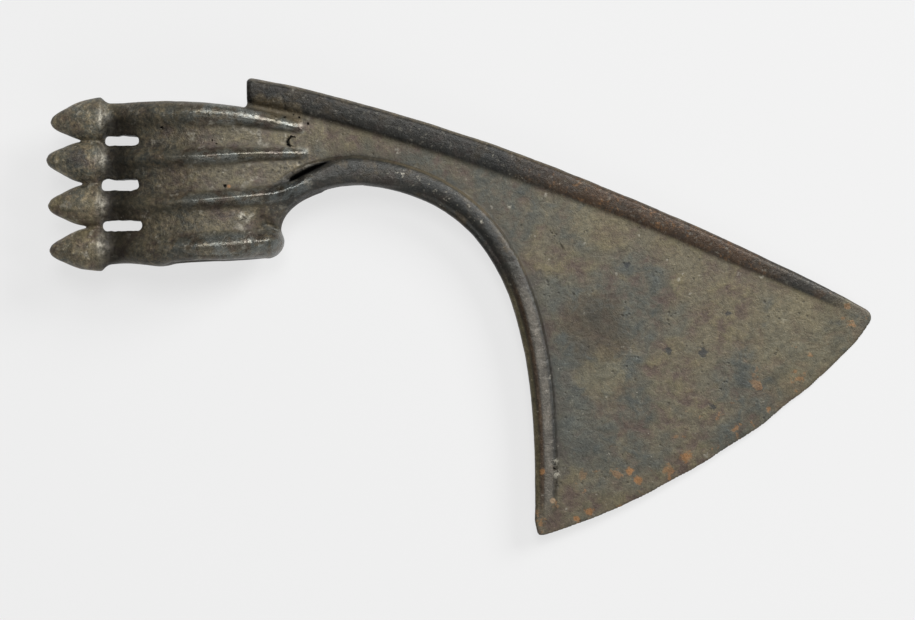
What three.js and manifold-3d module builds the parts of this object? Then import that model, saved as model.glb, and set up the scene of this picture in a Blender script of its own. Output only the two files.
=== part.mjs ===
// Spike-butted bronze axe head: a ribbed shaft socket, a back flange and a thin fan blade, cast in one.
//
// Units are millimetres. The head is first modelled flat and symmetrical about the plane z = 0:
// +X runs from the socket to the cutting edge, +Y to the back of the blade, and the origin is at the
// middle of the shaft hole, which runs along Y. It is then laid down as it rests when loose, on the
// crests of its socket ribs and the tip of its blade, with the floor at z = 0.
import * as THREE from "three";
import { mergeVertices } from "three/addons/utils/BufferGeometryUtils.js";
import Module from "manifold-3d";

const wasm = await Module();
wasm.setup();

const v2 = (x, y) => new THREE.Vector2(x, y);

// ---------- Driving sizes ----------

// Blade outline. The back is a shallow curve, the arch under the neck runs on down the blade's inner
// side, and the cutting edge is an arc of a circle.
const FLANGE_END_X = 8.3;
const BACK_START = v2(FLANGE_END_X, 26.5);
const BACK_BEND = v2(87.7, 10.1);
const BACK_END = v2(167.0, -33.0);
const TIP = v2(167.4, -34.2);
const NOTCH = v2(16.4, -11.6); // where the arch leaves the socket
const ARCH_TOP = v2(37.6, -0.5);
const ARCH_FOOT = v2(81.8, -85.9);
const HEEL = v2(82.9, -89.5);
const EDGE_RADIUS = 171;

// Half-thicknesses of the blade at fractions of the way from the neck to the cutting edge.
const WEB_HALF = [[0, 2.8], [0.2, 2.5], [0.45, 1.7], [0.8, 1.2], [0.94, 0.9], [1, 0.3]];
const FLANGE_HALF = [[0, 4.6], [0.2, 4.0], [0.5, 2.9], [0.85, 1.8], [0.95, 1.1], [1, 0.32]];
const BEAD_HALF = [[0, 3.2], [0.07, 3.8], [0.12, 5.3], [0.18, 4.7], [0.5, 3.2], [0.85, 2.0], [0.95, 1.1],
  [1, 0.32]];
const FLANGE_WIDTH = [[0, 6.9], [0.5, 6.6], [0.85, 5.2], [1, 3.8]];
const BEAD_WIDTH = [[0, 6.6], [0.2, 6.0], [0.4, 4.9], [1, 4.0]];
// Cross-profiles of the flange and the bead: share of the width, then share of the rise above the web.
const FLANGE_PROFILE = [[0, 0.55], [0.16, 1], [0.46, 1], [0.76, 0.9], [1, 0]];
const BEAD_PROFILE = [[0, 0.3], [0.24, 0.42], [0.46, 1], [0.68, 0.92], [1, 0]];
const RULINGS = 54; // stations from the neck to the cutting edge
const WEB_STRIPS = 6; // strips between the bead and the flange

// Shaft socket: half-thickness of its webs along X, and the height and half-width of the ribs on them.
const BUTT_X = -33.6;
const SOCKET_HALF = [[BUTT_X, 2.2], [-20, 5.0], [-12, 7.8], [-3, 10.6], [5, 9.5], [16, 5.4], [25, 2.3]];
const RIB_RISE = [[BUTT_X, 1.3], [-16, 2.0], [12, 1.9], [25, 0.5]];
const RIB_HALF_WIDTH = [[BUTT_X, 3.3], [-16, 3.1], [-2, 2.3], [11, 1.7], [25, 1.5]];
const OUTER_RIB_WIDENING = 1.35; // the two ribs along the rims are wider than the inner two
const BODY_STATIONS = 21; // stations along each rib from the butt to the start of the front
const FRONT_STATIONS = 9;
const FRONT_START_X = 8;

// Crest lines of the ribs, from the lower rim to the upper one, as [x, y] from the butt to the front.
const RIBS = [
  [[BUTT_X, -16.9], [-16, -17.1], [-2.3, -16.1], [10.7, -15.3], [17.9, -14.6]],
  [[BUTT_X, -5.7], [-16, -5.6], [-2.3, -4.8], [10.7, -3.5], [19, -1.8], [25, 0.8]],
  [[BUTT_X, 5.3], [-16, 5.8], [-2.3, 6.0], [10.7, 6.8], [25, 6.6]],
  [[BUTT_X, 15.8], [-16, 16.8], [-2.3, 17.3], [10.7, 16.5], [25, 12.2]],
];
const LOWER_RIM = [[BUTT_X, -21.1], [13.2, -19.1]];
const UPPER_RIM = [[BUTT_X, 19.5], [-26, 19.9], [-8, 20.2], [6.4, 19.0], [25, 15.2]];

// How far forward the socket reaches at each height: the lowest rib has a free round end, the arch
// leaves from the notch over it, and the rest runs out into the neck.
const FRONT = [[-19.2, 12.8], [-18.3, 15.4], [-16.6, 17.2], [-14.6, 17.9], [-12.6, 17.1], [-11.4, 16.4],
  [-9, 16.7], [-5.7, 20.2], [-3, 24.6], [0, 25]];
const FREE_END_Y = -9; // below this the front is free and rounded off
const END_ROUNDING = 3.2;
const END_HALF = 1.0;

// Shaft hole: a drop-shaped section, round at the butt side, that narrows from the lower rim up.
const BORE_BACK_X = -12;
const BORE_BACK_RADIUS = 8.8;
const BORE_FRONT_X = 13.5;
const BORE_FRONT_RADIUS = 2.4;
const BORE_LOW_Y = -26;
const BORE_HIGH_Y = 32;
const BORE_TAPER = 0.72; // size of the section at the high end, as a share of the low end

// Round-ended slots through the butt, one in each web: [x, y, length].
const SLOTS = [[-23.3, -11.0, 10.8], [-23.9, -0.6, 10.2], [-23.5, 10.6, 9.3]];
const SLOT_HEIGHT = 2.5;

// Spikes: one at the butt end of each rib, with its tip at [x, y].
const SPIKE_TIPS = [[-42.5, -17.3], [-42.6, -5.9], [-43.0, 5.9], [-42.5, 15.2]];
const SPIKE_FLATTENING = 0.88; // half-height over half-width
// Radius at each distance back from the tip.
const SPIKE_PROFILE = [[0, 0], [0.2, 1.1], [1.6, 2.2], [4.0, 3.2], [6.2, 4.3], [7.9, 5.1], [10.5, 5.55],
  [12.9, 5.6], [14.4, 4.5], [16.4, 3.6], [16.5, 0]];
const SPIKE_SIDES = 14;

// ---------- Helpers ----------

// Value at x of a smooth line through [position, value] pairs.
function along(pairs, x) {
  const last = pairs.length - 1;
  if (x <= pairs[0][0]) return pairs[0][1];
  if (x >= pairs[last][0]) return pairs[last][1];
  const i = pairs.findIndex(([position]) => position > x) - 1;
  const slope = (a, b) => (pairs[b][1] - pairs[a][1]) / (pairs[b][0] - pairs[a][0]);
  const tangent = (k) => slope(Math.max(k - 1, 0), Math.min(k + 1, last));
  const span = pairs[i + 1][0] - pairs[i][0];
  const t = (x - pairs[i][0]) / span;
  const rise = t * t * (3 - 2 * t);
  return (
    pairs[i][1] * (1 - rise) +
    pairs[i + 1][1] * rise +
    span * t * (1 - t) * ((1 - t) * tangent(i) - t * tangent(i + 1))
  );
}

// Closed solid with matching upper and lower faces. rows[i][j] is (x, y, half-thickness), with i
// running along +X and j along +Y.
function mirroredPlate(rows) {
  const across = rows[0].length;
  const under = rows.length * across;
  const points = rows.flat();
  const positions = [1, -1].flatMap((side) => points.flatMap((p) => [p.x, p.y, side * p.z]));
  const triangles = [];
  const quad = (a, b, c, d) => triangles.push(a, b, c, a, c, d);
  const wall = (a, b) => quad(under + a, under + b, b, a);
  for (let i = 0; i < rows.length - 1; i++) {
    for (let j = 0; j < across - 1; j++) {
      const a = i * across + j;
      const b = a + across;
      quad(a, b, b + 1, a + 1);
      quad(under + a, under + a + 1, under + b + 1, under + b);
    }
    wall(i * across, (i + 1) * across);
    wall((i + 2) * across - 1, (i + 1) * across - 1);
  }
  for (let j = 0; j < across - 1; j++) {
    wall(j + 1, j);
    wall((rows.length - 1) * across + j, (rows.length - 1) * across + j + 1);
  }
  const geometry = new THREE.BufferGeometry();
  geometry.setAttribute("position", new THREE.Float32BufferAttribute(positions, 3));
  geometry.setIndex(triangles);
  return geometry;
}

// A closed geometry as a manifold-3d solid.
function solidOf(geometry) {
  const bare = new THREE.BufferGeometry();
  bare.setAttribute("position", geometry.getAttribute("position"));
  bare.setIndex(geometry.getIndex());
  const merged = mergeVertices(bare);
  const index = merged.getIndex().array;
  const kept = [];
  for (let i = 0; i < index.length; i += 3) {
    const [a, b, c] = index.subarray(i, i + 3);
    if (a !== b && b !== c && c !== a) kept.push(a, b, c);
  }
  const vertProperties = merged.getAttribute("position").array;
  return new wasm.Manifold(new wasm.Mesh({ numProp: 3, vertProperties, triVerts: new Uint32Array(kept) }));
}

// A manifold-3d solid as a geometry.
function geometryOf(solid) {
  const mesh = solid.getMesh();
  const geometry = new THREE.BufferGeometry();
  geometry.setAttribute("position", new THREE.BufferAttribute(mesh.vertProperties, mesh.numProp));
  geometry.setIndex(new THREE.BufferAttribute(mesh.triVerts, 1));
  return geometry;
}

// ---------- Blade: thin web, back flange and the bead along the arch ----------

const backLine = new THREE.CurvePath();
backLine.add(new THREE.QuadraticBezierCurve(BACK_START, BACK_BEND, BACK_END));
backLine.add(new THREE.LineCurve(BACK_END, TIP));

const archLine = new THREE.CurvePath();
archLine.add(new THREE.LineCurve(v2(FLANGE_END_X, -9), NOTCH));
archLine.add(new THREE.CubicBezierCurve(NOTCH, v2(17.7, -4.4), v2(29.6, -0.6), ARCH_TOP));
archLine.add(new THREE.CubicBezierCurve(ARCH_TOP, v2(72.6, -4.2), v2(82.5, -32.2), ARCH_FOOT));
archLine.add(new THREE.LineCurve(ARCH_FOOT, HEEL));

// How far an arc of the cutting edge's radius stands out from its chord, at a fraction of the chord.
function edgeBulge(chord, fraction) {
  const offset = (fraction - 0.5) * chord;
  const chordDepth = Math.sqrt(EDGE_RADIUS ** 2 - (chord / 2) ** 2);
  return Math.sqrt(EDGE_RADIUS ** 2 - offset ** 2) - chordDepth;
}

// One section of the blade, from the arch to the back, as (x, y, half-thickness).
function bladeSection(u) {
  const low = archLine.getPoint(u);
  const high = backLine.getPoint(u);
  const ruling = high.clone().sub(low);
  const length = ruling.length();
  const outward = v2(ruling.y, -ruling.x).normalize();
  const bulgeShare = THREE.MathUtils.smoothstep(u, 0.35, 1) ** 1.5;
  const web = along(WEB_HALF, u);
  const stations = [];
  const beadWidth = along(BEAD_WIDTH, u);
  for (const [share, rise] of BEAD_PROFILE)
    stations.push([(share * beadWidth) / length, web + rise * (along(BEAD_HALF, u) - web)]);
  const flangeWidth = along(FLANGE_WIDTH, u);
  const start = beadWidth / length;
  const end = 1 - flangeWidth / length;
  for (let k = 1; k < WEB_STRIPS; k++) stations.push([start + ((end - start) * k) / WEB_STRIPS, web]);
  for (const [share, rise] of FLANGE_PROFILE.toReversed())
    stations.push([1 - (share * flangeWidth) / length, web + rise * (along(FLANGE_HALF, u) - web)]);
  return stations.map(([fraction, half]) => {
    const place = low.clone().addScaledVector(ruling, fraction);
    place.addScaledVector(outward, bulgeShare * edgeBulge(length, fraction));
    return new THREE.Vector3(place.x, place.y, half);
  });
}

// Stations close up towards the cutting edge, where the blade thins fastest.
const bladeRows = Array.from({ length: RULINGS }, (_, i) => {
  const step = i / (RULINGS - 1);
  return bladeSection(step + 0.12 * step * (1 - step));
});
const blade = mirroredPlate(bladeRows);

// ---------- Socket: a drop-shaped tube with four ribs round it ----------

// A rail is a line along the socket with its own share of the ribs' height: { y(x), rise }.
const rail = (y, rise) => ({ y, rise });
const crestY = (rib) => (x) => along(rib, x);
const midway = (a, b) => (x) => (a(x) + b(x)) / 2;

// Offsets from the crest in half-widths of the rib, with the share of the rib's height there.
const FLANK = [[0.5, 0.82], [0.85, 0.36], [1.15, 0.06]];

function flankRails(index, side) {
  const outer = index === 0 || index === RIBS.length - 1;
  const widening = outer ? OUTER_RIB_WIDENING : 1;
  return FLANK.map(([share, rise]) =>
    rail((x) => along(RIBS[index], x) + side * share * widening * along(RIB_HALF_WIDTH, x), rise),
  );
}

const rims = [LOWER_RIM, UPPER_RIM].map(crestY);
const crests = RIBS.map(crestY);
const rails = [rail(rims[0], 0.25), rail(midway(rims[0], crests[0]), 0.85)];
crests.forEach((crest, i) => {
  if (i > 0) rails.push(rail(midway(crests[i - 1], crest), 0), ...flankRails(i, -1).toReversed());
  rails.push(rail(crest, 1));
  if (i < crests.length - 1) rails.push(...flankRails(i, 1));
});
rails.push(rail(midway(crests.at(-1), rims[1]), 0.85), rail(rims[1], 0.25));

// Where a rail meets the front of the socket.
function frontOf({ y }) {
  let front = NOTCH.x;
  for (let pass = 0; pass < 3; pass++) front = along(FRONT, y(front));
  return front;
}

// A point of the socket's upper face on a rail, with its front at the given x.
function socketPoint(line, x, front) {
  const thickness = along(SOCKET_HALF, x) + line.rise * along(RIB_RISE, x);
  const freedom = 1 - THREE.MathUtils.smoothstep(line.y(front), FREE_END_Y - 2, FREE_END_Y + 4);
  const pastShoulder = Math.max(0, x - front + END_ROUNDING) / END_ROUNDING;
  const rounding = 1 - freedom * (1 - Math.sqrt(1 - Math.min(1, pastShoulder) ** 2));
  return new THREE.Vector3(x, line.y(x), Math.max(END_HALF, thickness * rounding));
}

// Stations stand at the same x on all rails up to the start of the front, and then spread to their fronts.
const socketRows = [];
for (let i = 0; i < BODY_STATIONS; i++) {
  const x = THREE.MathUtils.lerp(BUTT_X, FRONT_START_X, i / BODY_STATIONS);
  socketRows.push(rails.map((line) => socketPoint(line, x, frontOf(line))));
}
for (let i = 0; i <= FRONT_STATIONS; i++) {
  const share = Math.sin(((i / FRONT_STATIONS) * Math.PI) / 2);
  const xOf = (front) => THREE.MathUtils.lerp(FRONT_START_X, front, share);
  socketRows.push(rails.map((line) => socketPoint(line, xOf(frontOf(line)), frontOf(line))));
}
const socket = mirroredPlate(socketRows);

// ---------- Spikes: a blunt, slightly flattened head at the butt end of each rib ----------

function spike([tipX, tipY], baseY) {
  const profile = SPIKE_PROFILE.map(([back, radius]) => v2(radius, -back));
  const head = new THREE.LatheGeometry(profile.toReversed(), SPIKE_SIDES);
  head.scale(1, 1, SPIKE_FLATTENING);
  head.rotateZ(Math.PI / 2 + Math.atan2(baseY - tipY, BUTT_X - tipX));
  return head.translate(tipX, tipY, 0);
}
const spikes = SPIKE_TIPS.map((tip, i) => spike(tip, crests[i](BUTT_X)));

// ---------- Openings ----------

// The shaft hole's section is two arcs joined by their common tangents.
function boreGeometry() {
  const backMid = BORE_BACK_X + BORE_BACK_RADIUS;
  const frontMid = BORE_FRONT_X - BORE_FRONT_RADIUS;
  const tangent = Math.acos((BORE_BACK_RADIUS - BORE_FRONT_RADIUS) / (frontMid - backMid));
  const section = new THREE.Shape();
  section.absarc(backMid, 0, BORE_BACK_RADIUS, tangent, 2 * Math.PI - tangent);
  section.absarc(frontMid, 0, BORE_FRONT_RADIUS, -tangent, tangent);
  const depth = BORE_HIGH_Y - BORE_LOW_Y;
  const bore = new THREE.ExtrudeGeometry(section, { depth, bevelEnabled: false, curveSegments: 20 });
  const position = bore.getAttribute("position");
  for (let i = 0; i < position.count; i++) {
    const size = THREE.MathUtils.lerp(BORE_TAPER, 1, position.getZ(i) / depth);
    const x = BORE_BACK_X + (position.getX(i) - BORE_BACK_X) * size;
    position.setXY(i, x, position.getY(i) * size);
  }
  return bore.rotateX(Math.PI / 2).translate(0, BORE_HIGH_Y, 0);
}

// A round-ended slot through the whole thickness of the butt.
function slotGeometry([x, y, length]) {
  const radius = SLOT_HEIGHT / 2;
  const reach = length / 2 - radius;
  const section = new THREE.Shape();
  section.absarc(reach, 0, radius, -Math.PI / 2, Math.PI / 2);
  section.absarc(-reach, 0, radius, Math.PI / 2, (3 * Math.PI) / 2);
  const depth = 40;
  const slot = new THREE.ExtrudeGeometry(section, { depth, bevelEnabled: false, curveSegments: 8 });
  return slot.translate(x, y, -depth / 2);
}

// ---------- The casting, laid down ----------

const body = [blade, socket, ...spikes].map(solidOf).reduce((whole, piece) => whole.add(piece));
const openings = [boreGeometry(), ...SLOTS.map(slotGeometry)];
const casting = openings.map(solidOf).reduce((whole, opening) => whole.subtract(opening), body);
const castingGeometry = geometryOf(casting);

// The tilt about Y that brings the lowest points of the socket and of the blade level.
function restingTilt(geometry) {
  const position = geometry.getAttribute("position");
  const points = Array.from({ length: position.count }, (_, i) =>
    new THREE.Vector3().fromBufferAttribute(position, i),
  );
  let slope = 0;
  for (let pass = 0; pass < 6; pass++) {
    const height = (p) => p.z - slope * p.x;
    const lowest = (some) => some.reduce((a, b) => (height(b) < height(a) ? b : a));
    const socketFoot = lowest(points.filter((p) => p.x < FLANGE_END_X));
    const bladeFoot = lowest(points.filter((p) => p.x > ARCH_FOOT.x));
    slope = (bladeFoot.z - socketFoot.z) / (bladeFoot.x - socketFoot.x);
  }
  return Math.atan(slope);
}

const bronze = new THREE.MeshStandardMaterial({
  name: "bronze",
  color: 0x6b665a,
  roughness: 0.5,
  metalness: 0.7,
});
const axeHead = new THREE.Mesh(castingGeometry, bronze);
axeHead.name = "axe_head";
axeHead.rotation.y = restingTilt(castingGeometry);
const box = new THREE.Box3().setFromObject(axeHead, true);
axeHead.position.set(-(box.min.x + box.max.x) / 2, -(box.min.y + box.max.y) / 2, -box.min.z);

const part = new THREE.Group();
part.add(axeHead);

export default part;
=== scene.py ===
import math

import bpy
import numpy as np
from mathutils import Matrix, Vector


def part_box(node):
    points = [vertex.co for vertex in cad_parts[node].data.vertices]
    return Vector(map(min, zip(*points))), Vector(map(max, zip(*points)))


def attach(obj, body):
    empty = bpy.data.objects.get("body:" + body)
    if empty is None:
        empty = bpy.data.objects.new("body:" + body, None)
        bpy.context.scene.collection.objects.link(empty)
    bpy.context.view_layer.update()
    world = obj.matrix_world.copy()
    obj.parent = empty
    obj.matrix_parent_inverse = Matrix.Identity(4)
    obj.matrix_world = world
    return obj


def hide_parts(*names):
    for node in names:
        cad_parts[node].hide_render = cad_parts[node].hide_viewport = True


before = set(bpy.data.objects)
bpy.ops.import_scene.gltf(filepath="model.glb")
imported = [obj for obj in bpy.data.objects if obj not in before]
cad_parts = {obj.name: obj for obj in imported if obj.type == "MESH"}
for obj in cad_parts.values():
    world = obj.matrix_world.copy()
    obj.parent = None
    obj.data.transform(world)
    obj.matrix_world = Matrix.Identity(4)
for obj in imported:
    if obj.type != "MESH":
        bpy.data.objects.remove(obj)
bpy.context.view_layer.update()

# ======================================================================================================
# The axe head. One bronze casting, long buried: a ribbed shaft socket with four spikes at its butt, a
# back flange, and a thin fan blade with a bead along its inner side. It was cast in one pour in a
# two-piece mould round a clay core for the shaft hole, then ground and polished.
# ======================================================================================================
# It is shaped flat in millimetres, symmetrical about z = 0, +X to the cutting edge and +Y to the back,
# with the origin inside the shaft hole, and laid down on the floor afterwards. Its heights are maps over
# the plan. A list of (place, value) pairs says how a size changes along the casting.

MAP_STEP = 0.25
MAP_LOW = np.array([-46.0, -94.0])
MAP_HIGH = np.array([172.0, 30.0])
map_x, map_y = np.meshgrid(
    np.arange(MAP_LOW[0], MAP_HIGH[0], MAP_STEP),
    np.arange(MAP_LOW[1], MAP_HIGH[1], MAP_STEP),
    indexing="ij",
)


def along(pairs, x):
    """Value at x of a smooth line through (place, value) pairs."""
    place, value = np.array(pairs, dtype=float).T
    before = np.maximum(np.arange(len(place)) - 1, 0)
    after = np.minimum(np.arange(len(place)) + 1, len(place) - 1)
    tangent = (value[after] - value[before]) / (place[after] - place[before])
    x = np.clip(x, place[0], place[-1])
    i = np.clip(np.searchsorted(place, x, side="right") - 1, 0, len(place) - 2)
    span = place[i + 1] - place[i]
    t = (x - place[i]) / span
    rise = t * t * (3 - 2 * t)
    lean = (1 - t) * tangent[i] - t * tangent[i + 1]
    return value[i] * (1 - rise) + value[i + 1] * rise + span * t * (1 - t) * lean


def ease(low, high, x):
    """0 below low, 1 above high, and a smooth step between."""
    t = np.clip((x - low) / (high - low), 0, 1)
    return t * t * (3 - 2 * t)


def streak(distance, width):
    """1 on a line, dying away over a width to either side."""
    return np.exp(-((distance / width) ** 2))


def soft_max(a, b, width):
    """The larger of a and b, with the corner between them filled over a width."""
    near = np.maximum(width - np.abs(a - b), 0)
    return np.maximum(a, b) + near * near / (4 * width)


def soft_min(a, b, width):
    """The smaller of a and b, with the corner between them rounded over a width."""
    return -soft_max(-a, -b, width)


def bezier(points, count):
    """Points along a Bezier curve."""
    t = np.linspace(0, 1, count)[:, None]
    points = [np.array(p, dtype=float)[None, :] for p in points]
    while len(points) > 1:
        points = [a * (1 - t) + b * t for a, b in zip(points, points[1:])]
    return points[0]


def measure(line, x, y):
    """Distance of each place from a line, positive to its left, and how far along the line it lies."""
    best = np.full(x.shape, np.inf)
    side = np.ones(x.shape)
    reach = np.zeros(x.shape)
    start = 0.0
    last_dx = last_dy = 0.0
    for (ax, ay), (bx, by) in zip(line, line[1:]):
        dx, dy = bx - ax, by - ay
        length = math.hypot(dx, dy)
        if length == 0:
            continue
        cross = dx * (y - ay) - dy * (x - ax)
        t = np.clip(((x - ax) * dx + (y - ay) * dy) / length**2, 0, 1)
        distance = (x - ax - t * dx) ** 2 + (y - ay - t * dy) ** 2
        # where two lengths meet, a left turn holds less ground on its left than either length alone
        shared = np.abs(distance - best) < 1e-9
        turn = np.minimum if last_dx * dy - last_dy * dx > 0 else np.maximum
        side = np.where(shared, turn(side, np.sign(cross)), side)
        nearer = (distance < best) & ~shared
        best = np.where(nearer, distance, best)
        side = np.where(nearer, np.sign(cross), side)
        reach = np.where(nearer, start + t * length, reach)
        start += length
        last_dx, last_dy = dx, dy
    return np.sqrt(best) * side, reach


def ripple(x, y, size, seed):
    """Smooth random relief between about -1 and 1, with lumps of the given size."""
    table = np.random.default_rng(seed).uniform(-1, 1, (64, 64))
    gx, gy = x / size + 17.3, y / size + 9.1
    ix, iy = np.floor(gx).astype(int), np.floor(gy).astype(int)
    fx, fy = gx - ix, gy - iy
    fx, fy = fx * fx * (3 - 2 * fx), fy * fy * (3 - 2 * fy)
    low = table[ix % 64, iy % 64] * (1 - fx) + table[(ix + 1) % 64, iy % 64] * fx
    high = table[ix % 64, (iy + 1) % 64] * (1 - fx) + table[(ix + 1) % 64, (iy + 1) % 64] * fx
    return low * (1 - fy) + high * fy


# ---------- Blade: a thin hammered web, thick along its back and along the arch under the neck --------
# The lines of the back and the arch run on past the metal, so that distances from them stay true there.

FLANGE_END_X = 8.3
BACK_RUN_IN = (-30.0, 33.6)
BACK = [(FLANGE_END_X, 26.8), (20.7, 24.4), (44.6, 18.1), (75.2, 8.2), (113.5, -7.0), (144.1, -20.9),
        (159.4, -28.5), (164.5, -31.4), (171, -35.2)]
BACK_RUN_OUT = (180.0, -38.9)
ARCH_RUN_IN = (2.0, -7.0)
NOTCH = (16.4, -11.6)
ARCH_TOP = (37.6, -0.5)
ARCH_FOOT = (81.6, -85.9)
HEEL = (82.3, -89.5)
ARCH_RUN_OUT = (89.0, -109.5)
ARCH_RISE = [NOTCH, (17.3, -4.4), (28.6, -0.3), ARCH_TOP]
ARCH_FALL = [ARCH_TOP, (72.6, -4.2), (82.5, -32.2), ARCH_FOOT]
EDGE_CENTRE = (24.9, 94.8)
EDGE_RADIUS = 193.8
EDGE_DIPS = [(0.2, 9.0, 3), (0.07, 2.9, 4)]  # depth, length and seed of the dips worn into the edge
TIP_WEAR = 1.1

back_x = np.linspace(FLANGE_END_X, BACK[-1][0], 90)
back_line = np.vstack([BACK_RUN_IN, np.stack([back_x, along(BACK, back_x)], axis=1), BACK_RUN_OUT])
arch_line = np.vstack([
    [ARCH_RUN_IN],
    bezier(ARCH_RISE, 30),
    bezier(ARCH_FALL, 80)[1:],
    [HEEL, ARCH_RUN_OUT],
])

from_back = -measure(back_line, map_x, map_y)[0]
from_arch, arch_reach = measure(arch_line, map_x, map_y)
arch_reach = arch_reach - math.hypot(NOTCH[0] - ARCH_RUN_IN[0], NOTCH[1] - ARCH_RUN_IN[1])
edge_turn = np.arctan2(map_y - EDGE_CENTRE[1], map_x - EDGE_CENTRE[0]) * EDGE_RADIUS
edge_wear = sum(depth * ripple(edge_turn, 0 * edge_turn, length, seed) for depth, length, seed in EDGE_DIPS)
tip_wear = TIP_WEAR * ease(-43, -34, map_y) * ease(130, 150, map_x)
from_edge = EDGE_RADIUS - np.hypot(map_x - EDGE_CENTRE[0], map_y - EDGE_CENTRE[1]) + edge_wear - tip_wear

# Half-thickness of the web by the distance from the cutting edge.
WEB_HALF = [(0, 0.25), (2, 0.5), (7, 0.85), (20, 1.15), (50, 1.55), (90, 2.2), (130, 2.6), (160, 2.8)]
# Flange by the place along the blade. Its profile is the share of its rise at shares of its width in
# from the back: bevel, face, steep inner flank. It dies out towards the cutting edge.
FLANGE_WIDTH = [(8, 6.9), (76, 6.8), (96, 6.0), (111, 5.6), (129, 5.2), (144, 4.4), (160, 3.4)]
FLANGE_HALF = [(8, 4.6), (40, 4.0), (88, 3.0), (120, 2.4), (143, 1.9), (159, 1.3), (167, 0.8)]
FLANGE_PROFILE = [(0, 0.45), (0.07, 0.76), (0.15, 0.97), (0.3, 1.0), (0.55, 0.93), (0.72, 0.8), (0.83, 0.62),
                  (0.97, 0.08), (1.02, 0)]
FLANGE_FADE = (2, 17)
# Bead by the distance along the arch from the notch: half-thickness, width, the flat ledge left outside
# it, and the share of its width at which it is highest. It dies out towards the cutting edge too.
BEAD_HALF = [(-8, 3.2), (0, 3.7), (6, 4.7), (14, 5.0), (26, 4.5), (63, 3.4), (100, 2.5), (118, 2.0),
             (134, 1.2)]
BEAD_WIDTH = [(-8, 6.0), (0, 6.6), (12, 7.3), (26, 7.0), (45, 6.5), (63, 6.2), (100, 5.9), (125, 5.4),
              (134, 5.0)]
BEAD_LEDGE = [(0, 0), (27, 0), (45, 1.9), (66, 1.8), (90, 1.2), (110, 0.9), (134, 0.7)]
BEAD_PEAK = [(0, 0.5), (27, 0.5), (45, 0.46), (134, 0.46)]
BEAD_FADE = (1, 13)
OUTER_ROUND = 2.2  # 2 is a true round
INNER_ROUND = 2.4
FULL_LEDGE = 1.2
LEDGE_RISE = 0.34  # share of the bead's rise that a full ledge has
SIDE_RISE = 0.42  # share that the bead's side starts with where there is no ledge

web_half = along(WEB_HALF, from_edge)
flange_share = from_back / along(FLANGE_WIDTH, map_x)
flange_rise = along(FLANGE_PROFILE, flange_share) * (along(FLANGE_HALF, map_x) - web_half)
flange_rise = flange_rise * ease(*FLANGE_FADE, from_edge)
flange_rise = np.where(flange_share < FLANGE_PROFILE[-1][0], np.maximum(flange_rise, 0), 0)

bead_width = along(BEAD_WIDTH, arch_reach)
ledge = along(BEAD_LEDGE, arch_reach)
peak = along(BEAD_PEAK, arch_reach)
across = (from_arch - ledge) / (bead_width - ledge)
outer = np.clip((peak - across) / peak, 0, 1)
inner = np.clip((across - peak) / (1 - peak), 0, 1)
outer_roll = np.sqrt(1 - outer**OUTER_ROUND) * (across > 0)
roll = np.where(across < peak, outer_roll, np.sqrt(1 - inner**INNER_ROUND))
ledged = ease(0, 1, ledge / FULL_LEDGE)
start_share = SIDE_RISE * (1 - ledged) + ledged * LEDGE_RISE
roll = np.where(across < 1, start_share + (1 - start_share) * roll, 0)
bead_rise = roll * (along(BEAD_HALF, arch_reach) - web_half) * ease(*BEAD_FADE, from_edge)
bead_rise = np.maximum(bead_rise, 0) * (from_arch < bead_width)

blade_half = web_half + np.maximum(flange_rise, bead_rise)

# The deep wedge between the neck and the root of the bead: its line, its width and its depths.
WEDGE = [(17.6, -0.6), (19.6, 0.6), (23.9, 3.3), (27.9, 5.2), (32.5, 6.0)]
WEDGE_WIDTH = 0.45
WEDGE_SWELL = 0.5  # how much wider it is in its middle
WEDGE_DEPTH = 3.4  # into the socket
WEDGE_BLADE_DEPTH = 0.9

from_wedge, wedge_reach = measure(bezier(WEDGE, 24), map_x, map_y)
wedge_width = WEDGE_WIDTH + WEDGE_SWELL * ease(0, 4, wedge_reach) * (1 - ease(7, 17, wedge_reach))
wedge = streak(from_wedge, wedge_width) * ease(0, 3, wedge_reach) * (1 - ease(10, 17, wedge_reach))

# Outline: the back, the cutting edge and the arch, with a blunt tip, a blunt heel and a square end.
TIP_ROUNDING = 3.2
HEEL_ROUNDING = 1.6
END_ROUNDING = 1.6
BLADE_WAVER = 0.07  # how far the outline strays

blade_inside = soft_min(from_back, from_edge, TIP_ROUNDING)
blade_inside = soft_min(blade_inside, from_arch, HEEL_ROUNDING)
blade_inside = soft_min(blade_inside, map_x - FLANGE_END_X, END_ROUNDING)
blade_inside = blade_inside + BLADE_WAVER * ripple(map_x, map_y, size=4.0, seed=7)

# ---------- Shaft socket: a drop-shaped tube with four ribs round it -----------------------------------

BUTT_X = -33.6
SOCKET_START_X = -30.0
SOCKET_END_X = 27
SOCKET_HALF = [(BUTT_X, 1.4), (-30, 1.4), (-27, 1.6), (-24.5, 2.4), (-22, 4.1), (-19, 6.0), (-15, 7.8),
               (-11, 9.0), (-3, 10.4), (5, 9.5), (11, 7.8), (16, 5.8), (20, 4.3), (24, 3.1), (28, 2.1)]
LEAST_HALF = 0.6
FLUTE_DEPTH = [(BUTT_X, 0.3), (-16, 0.5), (0, 0.6), (12, 0.5), (20, 0.1), (25, 0)]
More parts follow.
